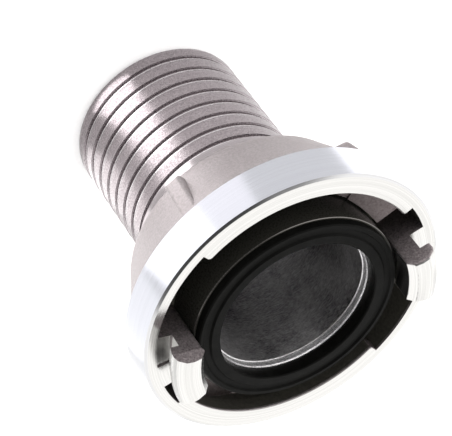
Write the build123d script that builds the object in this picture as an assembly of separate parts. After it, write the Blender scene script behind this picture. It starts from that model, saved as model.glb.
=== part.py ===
from build123d import *
import os
from math import atan2, cos, degrees, radians, sin

os.makedirs("parts", exist_ok=True)

# Hose coupling with two claw lugs, for a 75 mm hose. Millimetres, axis on Z.
# The tail's hose end stands on Z = 0. Heights marked "face" count from the mating face.

# Driving dimensions
HOSE_D = 75.0            # inside of the hose that the tail takes
WATERWAY_D = 66.0
LUG_SPACING = 89.4       # between the inner sides of the two lugs
RING_D = 129.2           # over the rim of the lug ring
FACE_Z = 122.7           # hose end to mating face

# Lug ring
RIM_FRONT_R = RING_D / 2 - 0.6
RIM_BACK = -16.7         # face
CHAMFER = 1.1
CHANNEL_R = 59.2         # outer wall of the channel
CHANNEL_FLOOR = -16.5    # face
LIP_R = 54.9
LIP_THIN = -5.5          # back of the lip where the mating lug enters, face
LIP_THICK = -7.5
WEDGE_TOP = -5.2         # face
WEDGE_MIDDLE = -12.3
NECK_R = 39.0
NECK_END = -58.5         # face
NECK_BORE_R = HOSE_D / 2 + 0.4

# Places around the ring, in degrees, for the half with the lug on +X
LUG_HALF = 13.5
NOTCH_END = 26.6
WEDGE_BEND = 46.5
WEDGE_LOW = 82.0
LIP_END = 127.0

# Lug
LUG_R = LUG_SPACING / 2
STEM_R = 52.9
HOOK_R = 57.4
CROWN = 14.4             # face
HOOK_UNDER = 5.2         # face, at the slot end; higher at the notch end
HOOK_UNDER_HIGH = 8.0
SIDE_BREAK = 9.2         # face, above it the hook's slot end leans back
UNDERCUT_DEPTH = 0.7     # cutter's run-out under the hook
UNDERCUT_END = 1.5       # degrees

# Hose tail
LAND_R = HOSE_D / 2
BORE_R = WATERWAY_D / 2
INNER_SHANK_R = 36.9     # relieved where the ring's neck runs over it
GROOVES = 8
PITCH = 7.8
FIRST_GROOVE = 7.2
GROOVE_DEPTH = 1.1
COLLAR_R = 44.2
COLLAR_TOP = 0.4         # face
COLLAR_SHOULDER = -28.0  # face
RUNNING_GAP = 0.1
SHOULDER_GAP = 0.3

# Face seal and its seat
SEAT_R = 43.2
SEAT_FLOOR = -9.0        # face
SEAT_STEP = -2.2         # face, the machined edge round the waterway
SEAT_HEEL_R = 36.4
SEAT_HEEL = -5.8         # face, top of the undercut that holds the seal's heel
SEAT_LIP_R = 38.4
SEAT_LIP = -5.0          # face
EDGE_R = 33.4            # waterway's machined mouth, down to EDGE_STEP
EDGE_STEP = -5.2         # face
SEAL_R = 33.9            # inside of the seal at its lip
SEAL_ROOT_R = 34.7
SEAL_GAP = 0.1

# Snap ring
WIRE_R = 1.6
WIRE_Z = -22.0           # face
WIRE_SPLIT = 9.0         # degrees

# Spanner ribs on the back of the ring
RIBS = 4
FIRST_RIB = 31.0
RIB_WIDTH = 7.1
RIB_END_R = 56.9         # corner at the rib's lower end
RIB_END = -40.2          # face


def turned(outline):
    """Solid of revolution about Z from a face drawn in X = radius and Z."""
    return revolve(outline, Axis.Z, 360)


def outline(*points):
    """Closed straight-sided face in the XZ plane from (radius, height) points."""
    return Plane.XZ * Polygon(*points, align=None)


def polar(radius, angle):
    return (radius * cos(radians(angle)), radius * sin(radians(angle)))


def sector(r_in, r_out, start, end, low, high, corner=0):
    """Block between two radii and two angles, its inner corners rounded."""
    far = 2 * r_out
    pie = Polygon((0, 0), polar(far, start), polar(far, (start + end) / 2), polar(far, end), align=None)
    face = (Circle(r_out) - Circle(r_in)) & pie
    if corner:
        inner = face.vertices().sort_by(lambda v: Vector(v.X, v.Y, 0).length)[:2]
        face = fillet(inner, corner)
    return Pos(0, 0, low) * extrude(face, high - low)


def slope_half_space(radius, start, end, z_start, z_end, above):
    """Everything on one side of a plane that rises from z_start to z_end."""
    run = 2 * radius * sin(radians(end - start) / 2)
    tilt = degrees(atan2(z_end - z_start, run))
    side = Align.MIN if above else Align.MAX
    slab = Box(300, 300, 80, align=(Align.CENTER, Align.CENTER, side))
    return Rot(0, 0, (start + end) / 2) * Pos(0, 0, (z_start + z_end) / 2) * Rot(tilt, 0, 0) * slab


def ring_shell():
    """Rim, channel, domed back, neck and bore of the lug ring."""
    back_r = RING_D / 2
    front = Polyline(
        (NECK_R, NECK_END + 3.4),
        (NECK_R - 0.1, NECK_END + 0.4),
        (NECK_R - 0.5, NECK_END),
        (NECK_BORE_R, NECK_END),
        (NECK_BORE_R, COLLAR_SHOULDER - SHOULDER_GAP),
        (COLLAR_R + RUNNING_GAP, COLLAR_SHOULDER - SHOULDER_GAP),
        (COLLAR_R + RUNNING_GAP, CHANNEL_FLOOR),
        (CHANNEL_R - 2, CHANNEL_FLOOR),
        (CHANNEL_R, CHANNEL_FLOOR + 2),
        (CHANNEL_R, 0),
        (RIM_FRONT_R - CHAMFER, 0),
        (RIM_FRONT_R, -0.75),
        (back_r, RIM_BACK + 0.5),
        (back_r - 0.5, RIM_BACK),
        (back_r - 2.2, RIM_BACK - 1.0),
    )
    dome = Spline(
        (back_r - 2.2, RIM_BACK - 1.0),
        (59.0, -24.0),
        (55.4, -31.0),
        (52.1, -38.0),
        (50.3, -42.0),
        (48.9, -45.0),
        (46.2, -48.0),
        (42.6, -51.0),
        (40.2, -53.0),
        (NECK_R, NECK_END + 3.4),
    )
    shell = turned(make_face(Plane.XZ * (front + dome)))
    return shell - Pos(0, 0, WIRE_Z) * Torus(COLLAR_R + RUNNING_GAP, WIRE_R + SHOULDER_GAP)


def lip():
    """Ledge that the mating lug slides behind; its back is a shallow ramp."""
    block = sector(LIP_R, CHANNEL_R + 1, NOTCH_END, LIP_END, LIP_THICK - 2, 0, corner=1.6)
    behind = slope_half_space(LIP_R, NOTCH_END, LIP_END, LIP_THICK, LIP_THIN, above=False)
    ledge = block - behind
    inner = ledge.edges().filter_by(lambda e: abs(e.center().Z) < 0.01)
    inner = inner.filter_by(lambda e: Vector(e.center().X, e.center().Y, 0).length < LIP_R + 1)
    return fillet(inner, 0.6)


def wedge():
    """Cast stop on the channel floor that ends the mating lug's travel, steep and then shallow."""
    middle = (LUG_R + CHANNEL_R) / 2
    steep = sector(LUG_R + 0.3, CHANNEL_R + 1, NOTCH_END, WEDGE_BEND, CHANNEL_FLOOR - 1, WEDGE_TOP + 1)
    steep = steep - slope_half_space(middle, NOTCH_END, WEDGE_BEND, WEDGE_TOP, WEDGE_MIDDLE, above=True)
    shallow = sector(LUG_R + 0.3, CHANNEL_R + 1, WEDGE_BEND, WEDGE_LOW, CHANNEL_FLOOR - 1, WEDGE_MIDDLE + 2)
    shallow = shallow - slope_half_space(middle, WEDGE_BEND, WEDGE_LOW, WEDGE_MIDDLE, CHANNEL_FLOOR, above=True)
    return steep + shallow


def hook_outline():
    """Side view of the hook above the mating face."""
    face = outline(
        (LUG_R, -1),
        (LUG_R, 10.9),
        (47.2, CROWN - 0.7),
        (50.6, CROWN),
        (53.6, CROWN - 0.2),
        (56.6, 12.3),
        (HOOK_R, 10.4),
        (HOOK_R, 8.4),
        (HOOK_R - 1.0, HOOK_UNDER),
        (STEM_R, HOOK_UNDER),
        (STEM_R, -1),
    )
    bends = face.vertices().filter_by(lambda v: v.Z > HOOK_UNDER + 1)
    return fillet(bends, 1.0)


def leaning_cut():
    """Takes a thin sliver off the hook's slot end, so that its upper part leans back."""
    slab = Box(40, 6, 20, align=(Align.CENTER, Align.MAX, Align.MIN))
    return Rot(0, 0, -LUG_HALF) * Pos(STEM_R, 0, SIDE_BREAK) * Rot(-10, 0, 0) * slab


def is_inner_corner(edge):
    """The upright edges where the lug's ends meet its inner side."""
    middle = edge.center()
    near = Vector(middle.X, middle.Y, 0).length < LUG_R + 0.3
    return near and edge.geom_type == GeomType.LINE and abs(edge.tangent_at(0.5).Z) > 0.99


def lug():
    """One claw lug: root block in the channel, stem and outward hook."""
    root = sector(LUG_R, CHANNEL_R + 1, -LUG_HALF, LUG_HALF, CHANNEL_FLOOR - 1, 0)
    hook = Rot(0, 0, -LUG_HALF) * revolve(hook_outline(), Axis.Z, 2 * LUG_HALF)
    under = sector(STEM_R, HOOK_R + 3, -LUG_HALF - 2, LUG_HALF + 2, 0, HOOK_UNDER_HIGH + 2)
    ramp = slope_half_space(HOOK_R, -LUG_HALF, LUG_HALF, HOOK_UNDER, HOOK_UNDER_HIGH, above=True)
    hook = hook - (under - ramp)
    hook = hook - leaning_cut()
    lug = root + hook
    undercut = sector(STEM_R, CHANNEL_R, -LUG_HALF - 1, UNDERCUT_END, -UNDERCUT_DEPTH, 0.5)
    lug = lug - undercut
    return fillet(lug.edges().filter_by(is_inner_corner), 1.2)


def rib():
    """Spanner rib down the domed back, from the rim to an end that stands square to the axis."""
    side = outline(
        (48, RIM_BACK - 0.3),
        (62, RIM_BACK - 0.3),
        (58.8, -32.0),
        (RIB_END_R, RIB_END),
        (50.2, RIB_END - 2.6),
        (44, RIB_END - 2.6),
        (44, -30.0),
    )
    block = extrude(side, RIB_WIDTH / 2, both=True)
    crest = block.edges().filter_by(lambda e: e.center().X > 56.5 and abs(e.center().Y) > 2)
    end = block.edges().filter_by(lambda e: abs(e.center().X - RIB_END_R) < 0.1 and abs(e.center().Y) < 0.1)
    return fillet(crest + end, 1.6)


def lug_ring():
    half = Part() + [lip(), wedge(), lug()]
    shell = ring_shell()
    ribs = [Rot(0, 0, FIRST_RIB + i * 360 / RIBS) * rib() for i in range(RIBS)]
    body = shell + ribs + half + Rot(0, 0, 180) * half
    return Pos(0, 0, FACE_Z) * body


def shank_points():
    """Outer outline of the hose tail from the hose end up to the ring."""
    points = [(LAND_R - 1.25, 0), (LAND_R - 0.4, 1.0), (LAND_R, 2.6)]
    for i in range(GROOVES):
        z = FIRST_GROOVE + i * PITCH
        points += [(LAND_R, z - 0.7), (LAND_R - GROOVE_DEPTH, z - 0.45)]
        points += [(LAND_R - GROOVE_DEPTH, z + 0.45), (LAND_R - 0.45, z + 0.75)]
        points += [(LAND_R, z + 3.0)]
    return points[:-1]


def hose_tail():
    """Grooved tail, running collar, seal seat and waterway in one turned piece."""
    points = [(BORE_R + 0.6, 0)] + shank_points() + [
        (INNER_SHANK_R, FACE_Z + NECK_END + 1.4),
        (INNER_SHANK_R, FACE_Z + COLLAR_SHOULDER),
        (COLLAR_R - 0.6, FACE_Z + COLLAR_SHOULDER),
        (COLLAR_R, FACE_Z + COLLAR_SHOULDER + 0.6),
        (COLLAR_R, FACE_Z + COLLAR_TOP - 0.25),
        (COLLAR_R - 0.25, FACE_Z + COLLAR_TOP),
        (SEAT_R + 0.2, FACE_Z + COLLAR_TOP),
        (SEAT_R, FACE_Z + COLLAR_TOP - 0.2),
        (SEAT_R, FACE_Z + SEAT_FLOOR),
        (SEAT_HEEL_R, FACE_Z + SEAT_FLOOR),
        (SEAT_HEEL_R, FACE_Z + SEAT_HEEL),
        (SEAT_LIP_R, FACE_Z + SEAT_LIP),
        (SEAT_LIP_R, FACE_Z + SEAT_STEP),
        (EDGE_R + 0.3, FACE_Z + SEAT_STEP),
        (EDGE_R, FACE_Z + SEAT_STEP - 0.6),
        (EDGE_R, FACE_Z + EDGE_STEP),
        (BORE_R, FACE_Z + EDGE_STEP - 0.2),
        (BORE_R, 0.6),
    ]
    body = turned(outline(*points))
    return body - Pos(0, 0, FACE_Z + WIRE_Z) * Torus(COLLAR_R + 0.05, WIRE_R + 0.05)


def face_seal():
    """Moulded rubber seal, its heel snapped into the tail's undercut seat."""
    gap = SEAL_GAP
    points = [
        (SEAL_ROOT_R, SEAT_STEP),
        (SEAL_R, 3.3),
        (SEAL_R + 0.4, 3.7),
        (37.7, 3.7),
        (38.4, 2.9),
        (40.6, 2.9),
        (41.2, 3.6),
        (42.6, 3.6),
        (SEAT_R - gap, 3.1),
        (SEAT_R - gap, SEAT_FLOOR),
        (SEAT_HEEL_R + gap, SEAT_FLOOR),
        (SEAT_HEEL_R + gap, SEAT_HEEL),
        (SEAT_LIP_R + gap, SEAT_LIP),
        (SEAT_LIP_R + gap, SEAT_STEP),
    ]
    return Pos(0, 0, FACE_Z) * turned(outline(*points))


def snap_ring():
    """Split spring-wire ring that holds the lug ring on the collar."""
    wire = Plane.XZ * Pos(COLLAR_R + 0.05, WIRE_Z) * Circle(WIRE_R)
    loop = revolve(wire, Axis.Z, 360 - WIRE_SPLIT)
    return Pos(0, 0, FACE_Z) * Rot(0, 0, 90) * loop


export_step(lug_ring(), "parts/lug_ring.step")
export_step(hose_tail(), "parts/hose_tail.step")
export_step(face_seal(), "parts/face_seal.step")
export_step(snap_ring(), "parts/snap_ring.step")
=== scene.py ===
import math

import bpy
from mathutils import Matrix, Vector


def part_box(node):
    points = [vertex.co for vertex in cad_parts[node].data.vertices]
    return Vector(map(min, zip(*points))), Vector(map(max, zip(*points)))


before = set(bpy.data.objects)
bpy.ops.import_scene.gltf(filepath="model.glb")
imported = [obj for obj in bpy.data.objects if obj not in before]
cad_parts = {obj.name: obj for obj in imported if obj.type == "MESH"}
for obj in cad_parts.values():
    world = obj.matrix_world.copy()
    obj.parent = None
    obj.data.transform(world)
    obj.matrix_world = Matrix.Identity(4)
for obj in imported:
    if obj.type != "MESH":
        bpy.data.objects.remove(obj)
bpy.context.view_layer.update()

MM = 0.001

# Heights and radii that the finishes change at, in millimetres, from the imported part
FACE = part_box("hose_tail")[1].z / MM - 0.4
RIM_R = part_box("lug_ring")[1].y / MM
RIM_BACK = FACE - 16.7
COLLAR_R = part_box("hose_tail")[1].x / MM
NECK_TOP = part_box("lug_ring")[0].z / MM + 3.4
BORE_R = 33.0
LAND_R = 37.5
NECK_R = 42.0                    # clear of the neck's machined band
CHANNEL_R = RIM_R - 4.8          # clear of the channel's outer wall
RIM_INSIDE = RIM_R - 1.9         # clear of the turned rim
FACE_SKIN = FACE - 0.95          # the mating face lies above, with the cutter's run-out
CHANNEL_TOP = FACE - 1.0
HOOK_START = FACE + 0.2
WEDGE_TOP = FACE - 4.5
WEDGE_FOOT = RIM_BACK + 0.6
SHANK_TOP = RIM_BACK - 30
GROOVES_START = 3.0

# Camera: how it is turned about the coupling, and the point that it looks at
CAMERA_AZIMUTH = 20.75
CAMERA_ELEVATION = 39.92
CAMERA_ROLL = 143.92
CAMERA_DISTANCE = 818.1 * MM
CAMERA_LENS = 161.0
CAMERA_SENSOR = 36.0
AIM = Vector((1.28, 0.49, 66.34)) * MM

# Studio: the surround, its dark overhead and dark side, the key light over the floor, the low panels
# beside the coupling as name, bearing, near and far edge, width, strength and colour, and the wedges
# of such panels that widen outward as name, bearing, half angle, strength and colour
SURROUND = 2.15
OVERHEAD = 0.5
OVERHEAD_START = 0.70
OVERHEAD_FULL = 0.88
DARK_SIDE = (0.54, -0.40, 0.74)
DARK_SIDE_START = 0.70
DARK_SIDE_FULL = 0.80
DARK_LEVEL = 0.22
KEY_WATTS = 22
KEY_SIZE = 2.2
KEY_HEIGHT = 1.6
FLOOR_RADIUS = 3.0
FLOOR_GAP = 0.2 * MM
GLOW_HEIGHT = 1.5                # millimetres over the floor
GLOWS = [
    ("glow_rim_mid", 287, 140, 265, 110, 0.8, (1, 0.96, 1)),
    ("glow_rim_front", 323, 140, 265, 180, 1.5, (1, 1, 1)),
    ("glow_rim_back", 20, 150, 260, 180, 0.7, (1, 1, 1)),
    ("glow_rim_left", 180, 140, 260, 200, 1.4, (1, 0.99, 1)),
]
WEDGE_EDGES = (39, 52, 70, 92, 122)
WEDGES = [
    ("glow_shank", 307.5, 16, 3.5, (1, 1, 1)),
    ("glow_shank_side", 18, 22, 1.6, (1, 1, 0.99)),
]


# ---- materials ----

class Finish:
    """One material's node tree, with the surface's place on the coupling ready to use."""

    def __init__(self, name, metallic):
        self.material = bpy.data.materials.new(name)
        self.material.use_nodes = True
        self.nodes = self.material.node_tree.nodes
        self.links = self.material.node_tree.links
        self.shader = self.nodes["Principled BSDF"]
        self.shader.inputs["Metallic"].default_value = metallic
        self.find_place()

    def put(self, socket, value):
        if isinstance(value, bpy.types.NodeSocket):
            self.links.new(value, socket)
        else:
            socket.default_value = value

    def add(self, kind, inputs, **settings):
        node = self.nodes.new("ShaderNode" + kind)
        for key, value in settings.items():
            setattr(node, key, value)
        for key, value in inputs.items():
            self.put(node.inputs[key], value)
        return node

    def math(self, operation, a, b=0.0, clamp=False):
        node = self.add("Math", {0: a, 1: b}, operation=operation, use_clamp=clamp)
        return node.outputs[0]

    def find_place(self):
        """Radius and height in millimetres, the angle as sine and cosine, and the normal's parts."""
        where = self.add("TexCoord", {}).outputs
        place = self.add("SeparateXYZ", {0: where["Object"]}).outputs
        normal = self.add("SeparateXYZ", {0: where["Normal"]}).outputs
        flat = self.add("CombineXYZ", {0: place[0], 1: place[1]}).outputs[0]
        radius = self.add("VectorMath", {0: flat}, operation="LENGTH").outputs["Value"]
        safe = self.math("MAXIMUM", radius, 1e-6)
        self.object_place = where["Object"]
        self.cosine = self.math("DIVIDE", place[0], safe)
        self.sine = self.math("DIVIDE", place[1], safe)
        self.radius = self.math("MULTIPLY", radius, 1 / MM)
        self.height = self.math("MULTIPLY", place[2], 1 / MM)
        self.normal_z = normal[2]
        along = self.math("MULTIPLY", normal[1], self.cosine)
        across = self.math("MULTIPLY", normal[0], self.sine)
        self.normal_round = self.math("ABSOLUTE", self.math("SUBTRACT", along, across))

    def above(self, value, edge, softness=0.1):
        """0 below the edge, 1 above it."""
        node = self.add("MapRange", {0: value, 1: edge - softness, 2: edge + softness, 3: 0.0, 4: 1.0},
                        interpolation_type="SMOOTHSTEP")
        return node.outputs[0]

    def below(self, value, edge, softness=0.1):
        return self.math("SUBTRACT", 1.0, self.above(value, edge, softness))

    def both(self, *masks):
        result = masks[0]
        for mask in masks[1:]:
            result = self.math("MULTIPLY", result, mask)
        return result

    def either(self, *masks):
        result = masks[0]
        for mask in masks[1:]:
            result = self.math("MAXIMUM", result, mask)
        return result

    def grain(self, size, detail=3.0, rough=0.6, low=0.3, high=0.7):
        """Even noise with features of that size in millimetres, spread to 0..1."""
        node = self.add("TexNoise", {"Vector": self.object_place, "Scale": 1 / (size * MM),
                                     "Detail": detail, "Roughness": rough})
        return self.spread(node.outputs[0], low, high)

    def turning(self, pitch, length, detail=2.0, low=0.3, high=0.7):
        """Noise drawn out round the axis, as a lathe tool leaves it: pitch in mm, length in radians."""
        across_r = self.math("DIVIDE", self.radius, pitch)
        across_z = self.math("DIVIDE", self.height, pitch)
        cosine = self.math("DIVIDE", self.cosine, length)
        sine = self.math("DIVIDE", self.sine, length)
        vector = self.add("CombineXYZ", {0: across_r, 1: across_z, 2: cosine}).outputs[0]
        node = self.add("TexNoise", {"Vector": vector, "W": sine, "Scale": 1.0, "Detail": detail},
                        noise_dimensions="4D")
        return self.spread(node.outputs[0], low, high)

    def spread(self, value, low, high):
        return self.add("MapRange", {0: value, 1: low, 2: high, 3: 0.0, 4: 1.0}).outputs[0]

    def blend(self, factor, a, b):
        """Number a where factor is 0 and b where it is 1."""
        node = self.add("Mix", {0: factor, 2: a, 3: b})
        return node.outputs[0]

    def tint(self, factor, a, b):
        """Colour a where factor is 0 and b where it is 1."""
        node = self.add("Mix", {0: factor}, data_type="RGBA")
        self.put(node.inputs[6], a)
        self.put(node.inputs[7], b)
        return node.outputs[2]

    def finish(self, color, roughness, height, depth, metallic=None):
        """Joins the colour, roughness and relief to the shader; depth is the relief's in millimetres."""
        if metallic is not None:
            self.put(self.shader.inputs["Metallic"], metallic)
        bump = self.add("Bump", {"Height": height, "Distance": depth * MM, "Strength": 1.0})
        self.put(self.shader.inputs["Base Color"], color)
        self.put(self.shader.inputs["Roughness"], roughness)
        self.put(self.shader.inputs["Normal"], bump.outputs[0])
        return self.material


def ring_regions(f):
    """Masks of the ring's flanks, channel, wedges, lug sides, neck band, rim and top faces."""
    flank = f.above(f.normal_round, 0.6, 0.1)
    in_rim = f.above(f.height, RIM_BACK)
    rim = f.both(f.above(f.radius, RIM_INSIDE), in_rim)
    face = f.both(f.above(f.height, FACE_SKIN), f.above(f.normal_z, 0.8, 0.15))
    hook = f.both(f.above(f.height, HOOK_START), f.below(f.normal_round, 0.6, 0.2))
    ragged = f.math("SUBTRACT", f.height, f.math("MULTIPLY", f.grain(9.0, detail=3.0), 1.6))
    neck = f.both(f.below(ragged, NECK_TOP - 0.6, 0.12), f.below(f.radius, NECK_R))
    channel = f.both(f.below(f.radius, CHANNEL_R), f.below(f.height, CHANNEL_TOP), in_rim)
    lug_side = f.both(flank, f.below(f.radius, CHANNEL_R), in_rim)
    wedge = f.both(channel, f.above(f.height, WEDGE_FOOT, 0.3), f.above(f.normal_z, 0.7, 0.1),
                   f.below(f.height, WEDGE_TOP))
    return flank, channel, wedge, lug_side, neck, rim, f.either(face, hook)


def ring_metal():
    """Lug ring: blasted casting, bright where the lathe has been, with painted shade: near black in the
    channel and darker on the lug sides.
    """
    f = Finish("ring_metal", metallic=1.0)
    f.shader.inputs["Specular IOR Level"].default_value = 0.15
    flank, channel, wedge, lug_side, neck, rim, top = ring_regions(f)
    turned = f.either(rim, top, neck)
    cast_grain = f.grain(0.9, detail=4.0, rough=0.7, low=0.36, high=0.64)
    blotch = f.math("MULTIPLY", f.grain(14.0, detail=2.0), 0.3)
    lines = f.turning(0.25, 1.6)

    color = f.tint(cast_grain, (0.232, 0.209, 0.2125, 1), (0.372, 0.3395, 0.344, 1))
    color = f.tint(blotch, color, (0.27, 0.24, 0.245, 1))
    coats = [
        # painted shade: the channel's recess is coloured near black
        (channel, f.grain(1.2), (0.023, 0.0217, 0.018, 1), (0.044, 0.0415, 0.0345, 1)),
        (wedge, cast_grain, (0.28, 0.235, 0.235, 1), (0.46, 0.40, 0.40, 1)),
        # painted shade: the lug sides in the channel get a darker copy of the cast colour
        (lug_side, f.grain(0.8, detail=4.0), (0.11, 0.095, 0.098, 1), (0.33, 0.29, 0.295, 1)),
        (neck, lines, (0.24, 0.215, 0.222, 1), (0.36, 0.33, 0.34, 1)),
        (rim, lines, (0.36, 0.365, 0.395, 1), (0.405, 0.41, 0.443, 1)),
        (top, lines, (0.40, 0.396, 0.387, 1), (0.49, 0.485, 0.476, 1)),
    ]
    for region, pattern, dark, light in coats:
        color = f.tint(region, color, f.tint(pattern, dark, light))

    # painted shade: the channel, apart from its flanks and wedge, is also made non-metallic
    channel_shade = f.both(channel, f.below(f.either(flank, wedge), 0.5))
    roughness = f.blend(channel, f.blend(cast_grain, 0.50, 0.62), 0.5)
    roughness = f.blend(turned, roughness, f.blend(lines, 0.14, 0.22))
    height = f.blend(turned, cast_grain, f.math("MULTIPLY", lines, 0.08))
    return f.finish(color, roughness, height, 0.05, metallic=f.math("SUBTRACT", 1.0, channel_shade))


def tail_regions(f):
    """Masks of the tail's outside, grooves, the painted highlights along their edges, collar, collar's
    edge and machined mouth.
    """
    outside = f.above(f.radius, BORE_R + 0.9, 0.1)
    grooved = f.both(outside, f.below(f.height, SHANK_TOP), f.above(f.height, GROOVES_START))
    groove = f.both(grooved, f.below(f.radius, LAND_R - 0.7, 0.15))
    # painted highlight: a thin bright band on each groove's wall, just under the land
    edge_highlight = f.both(grooved, f.above(f.radius, LAND_R - 0.5, 0.05), f.below(f.radius, LAND_R - 0.36, 0.05))
    collar = f.both(f.above(f.radius, COLLAR_R - 4.0), f.above(f.height, RIM_BACK))
    collar_edge = f.both(f.above(f.radius, COLLAR_R - 0.28, 0.03), f.above(f.height, FACE + 0.12, 0.04))
    mouth = f.both(f.below(f.radius, BORE_R + 2.2), f.above(f.radius, BORE_R + 0.1, 0.05),
                   f.above(f.height, FACE - 5.6, 0.1))
    return outside, groove, edge_highlight, collar, collar_edge, mouth


def tail_metal():
    """Hose tail: satin turned aluminium, matt in the waterway, bright on the seal's seat, with painted
    shade on the collar inside the ring and painted highlights along the groove edges.
    """
    f = Finish("tail_metal", metallic=1.0)
    f.shader.inputs["Specular IOR Level"].default_value = 0.15
    outside, groove, edge_highlight, collar, collar_edge, mouth = tail_regions(f)
    lines = f.turning(0.16, 1.6)
    speckle = f.grain(0.7, detail=5.0, rough=0.75, low=0.42, high=0.60)
    scratches = f.turning(0.3, 0.06, detail=5.0, low=0.46, high=0.62)
    patches = f.grain(16.0, detail=3.0, low=0.35, high=0.65)
    bore_grain = f.math("MULTIPLY", f.grain(0.7, detail=6.0, rough=0.8, low=0.40, high=0.60), 0.5)
    bore_grain = f.math("ADD", bore_grain, f.math("MULTIPLY", patches, 0.5))

    turned = f.tint(lines, (0.27, 0.238, 0.248, 1), (0.32, 0.285, 0.297, 1))
    turned = f.tint(f.math("MULTIPLY", speckle, 0.6), turned, (0.13, 0.112, 0.12, 1))
    turned = f.tint(groove, turned, (0.30, 0.27, 0.28, 1))
    # painted highlight along the groove edges
    turned = f.tint(edge_highlight, turned, (0.62, 0.60, 0.61, 1))
    bore = f.tint(bore_grain, (0.095, 0.091, 0.094, 1), (0.49, 0.48, 0.485, 1))
    bore = f.tint(f.math("MULTIPLY", scratches, 0.5), bore, (0.70, 0.69, 0.70, 1))
    machined = f.tint(speckle, (0.88, 0.87, 0.88, 1), (0.50, 0.49, 0.50, 1))
    color = f.tint(outside, bore, turned)
    # painted shade: the collar inside the ring is coloured near black
    color = f.tint(collar, color, (0.017, 0.0165, 0.014, 1))
    color = f.tint(collar_edge, color, (0.12, 0.113, 0.108, 1))
    color = f.tint(mouth, color, machined)

    # painted shade: the collar, less its edge, is made non-metallic
    collar_shade = f.math("SUBTRACT", collar, collar_edge, clamp=True)
    roughness = f.blend(outside, f.blend(bore_grain, 0.36, 0.56), f.blend(speckle, 0.25, 0.34))
    relief = f.math("ADD", f.math("MULTIPLY", lines, 0.2), f.math("MULTIPLY", speckle, 0.35))
    height = f.blend(outside, f.math("ADD", bore_grain, scratches), relief)
    height = f.blend(collar, height, 0.0)
    return f.finish(color, roughness, height, 0.03, metallic=f.math("SUBTRACT", 1.0, collar_shade))


def seal_rubber():
    """Moulded black rubber with a faint bloom."""
    f = Finish("seal_rubber", metallic=0.0)
    f.shader.inputs["Specular IOR Level"].default_value = 0.03
    bloom = f.grain(6.0, detail=3.0)
    pores = f.grain(0.3)
    color = f.tint(bloom, (0.002, 0.002, 0.0018, 1), (0.004, 0.004, 0.0036, 1))
    roughness = f.blend(pores, 0.38, 0.55)
    return f.finish(color, roughness, pores, 0.02)


def spring_steel():
    """Drawn spring wire, a little dark from oil."""
    f = Finish("spring_steel", metallic=1.0)
    draw = f.turning(0.15, 1.2)
    color = f.tint(draw, (0.30, 0.29, 0.28, 1), (0.42, 0.41, 0.40, 1))
    return f.finish(color, f.blend(draw, 0.25, 0.38), draw, 0.01)


def floor_white():
    """Matte paper, with a faint tooth."""
    f = Finish("floor_white", metallic=0.0)
    tooth = f.grain(2.5, detail=2.0)
    color = f.tint(tooth, (0.93, 0.93, 0.93, 1), (0.96, 0.96, 0.96, 1))
    return f.finish(color, 0.9, tooth, 0.02)


def give(node, material):
    """Puts a material on a CAD piece."""
    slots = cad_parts[node].data.materials
    slots.clear()
    slots.append(material)


# ---- stage, light and camera ----

def add_floor():
    """Large plain disc that the coupling stands on."""
    bpy.ops.mesh.primitive_circle_add(vertices=96, radius=FLOOR_RADIUS, fill_type="NGON",
                                      location=(0, 0, -FLOOR_GAP))
    floor = bpy.context.active_object
    floor.name = "floor"
    floor.data.materials.append(floor_white())


def on_sphere(azimuth, elevation, distance, centre=AIM):
    """Point seen at that azimuth (0 looks along +Y) and elevation from the centre."""
    a = math.radians(azimuth)
    e = math.radians(elevation)
    direction = Vector((math.sin(a) * math.cos(e), -math.cos(a) * math.cos(e), math.sin(e)))
    return centre + direction * distance


def add_panel(name, location, target, width, height, watts, color=(1, 1, 1)):
    """Soft rectangular light that points at the target and isn't itself seen."""
    data = bpy.data.lights.new(name, "AREA")
    data.shape = "RECTANGLE"
    data.size = width
    data.size_y = height
    data.energy = watts
    data.color = color
    panel = bpy.data.objects.new(name, data)
    panel.location = location
    panel.rotation_mode = "QUATERNION"
    panel.rotation_quaternion = (target - location).to_track_quat("-Z", "Y")
    panel.visible_camera = False
    bpy.context.scene.collection.objects.link(panel)
    return panel


def add_ramp(nodes, links, value, start, full, low, high):
    """Smooth change from low to high as the value goes from start to full."""
    ramp = nodes.new("ShaderNodeMapRange")
    ramp.interpolation_type = "SMOOTHSTEP"
    for index, number in enumerate((start, full, low, high), 1):
        ramp.inputs[index].default_value = number
    links.new(value, ramp.inputs[0])
    return ramp.outputs[0]


def add_world():
    """Even white surround, dark overhead and on the side where the dark curtain hangs."""
    world = bpy.data.worlds.new("studio")
    world.use_nodes = True
    nodes = world.node_tree.nodes
    links = world.node_tree.links
    where = nodes.new("ShaderNodeTexCoord").outputs["Generated"]
    parts = nodes.new("ShaderNodeSeparateXYZ")
    links.new(where, parts.inputs[0])
    toward = nodes.new("ShaderNodeVectorMath")
    toward.operation = "DOT_PRODUCT"
    toward.inputs[1].default_value = DARK_SIDE
    links.new(where, toward.inputs[0])
    by_height = add_ramp(nodes, links, parts.outputs[2], OVERHEAD_START, OVERHEAD_FULL,
                         SURROUND, OVERHEAD)
    by_side = add_ramp(nodes, links, toward.outputs["Value"], DARK_SIDE_START, DARK_SIDE_FULL,
                       1.0, DARK_LEVEL)
    strength = nodes.new("ShaderNodeMath")
    strength.operation = "MULTIPLY"
    links.new(by_height, strength.inputs[0])
    links.new(by_side, strength.inputs[1])
    background = nodes["Background"]
    links.new(strength.outputs[0], background.inputs["Strength"])
    background.inputs["Color"].default_value = (1, 0.995, 0.985, 1)
    bpy.context.scene.world = world


def on_floor(bearing, distance, height):
    """Point over the floor on a bearing from +X about the axis, in degrees and millimetres."""
    a = math.radians(bearing)
    return Vector((math.cos(a) * distance, math.sin(a) * distance, height)) * MM


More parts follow.
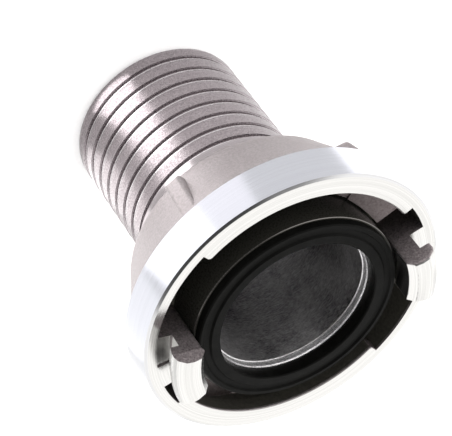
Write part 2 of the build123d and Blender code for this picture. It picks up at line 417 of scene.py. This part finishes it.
def add_glow(name, bearing, near, far, width, strength, color=(1, 1, 1)):
    """Low panel facing up beside the coupling, which its turned walls pick up as a bright band."""
    middle = on_floor(bearing, (near + far) / 2, GLOW_HEIGHT)
    length = (far - near) * MM
    breadth = width * MM
    panel = add_panel(name, middle, middle + Vector((0, 0, 1)), breadth, length, 1.0, color)
    panel.data.energy = strength * math.pi * length * breadth
    panel.rotation_quaternion = (Matrix.Rotation(math.radians(bearing - 90), 3, "Z")
                                 @ Matrix.Rotation(math.pi, 3, "Y")).to_quaternion()


def add_wedge(name, bearing, half_angle, strength, color):
    """Row of low panels that keeps the same angle about the axis as it goes outward."""
    for index, (near, far) in enumerate(zip(WEDGE_EDGES, WEDGE_EDGES[1:])):
        width = (near + far) * math.tan(math.radians(half_angle))
        add_glow(f"{name}_{index}", bearing, near, far, width, strength, color)


def add_lights():
    """Key light that whitens the floor but stays out of the metal's reflections, and the low panels."""
    overhead = Vector((0, 0, KEY_HEIGHT))
    key = add_panel("key", overhead, Vector((0, 0, 0)), KEY_SIZE, KEY_SIZE, KEY_WATTS)
    key.visible_glossy = False
    key.data.use_shadow = False
    for name, bearing, near, far, width, strength, color in GLOWS:
        add_glow(name, bearing, near, far, width, strength, color)
    for name, bearing, half_angle, strength, color in WEDGES:
        add_wedge(name, bearing, half_angle, strength, color)


def add_camera():
    data = bpy.data.cameras.new("camera")
    data.lens = CAMERA_LENS
    data.sensor_width = CAMERA_SENSOR
    data.clip_start = 0.05
    data.clip_end = 20.0
    camera = bpy.data.objects.new("camera", data)
    camera.location = on_sphere(CAMERA_AZIMUTH, CAMERA_ELEVATION, CAMERA_DISTANCE)
    level = (AIM - camera.location).to_track_quat("-Z", "Y").to_matrix()
    turn = level @ Matrix.Rotation(math.radians(CAMERA_ROLL), 3, "Z")
    camera.rotation_mode = "QUATERNION"
    camera.rotation_quaternion = turn.to_quaternion()
    bpy.context.scene.collection.objects.link(camera)
    bpy.context.scene.camera = camera


give("lug_ring", ring_metal())
give("hose_tail", tail_metal())
give("face_seal", seal_rubber())
give("snap_ring", spring_steel())
add_floor()
add_world()
add_lights()
add_camera()
bpy.context.scene.view_settings.view_transform = "Standard"
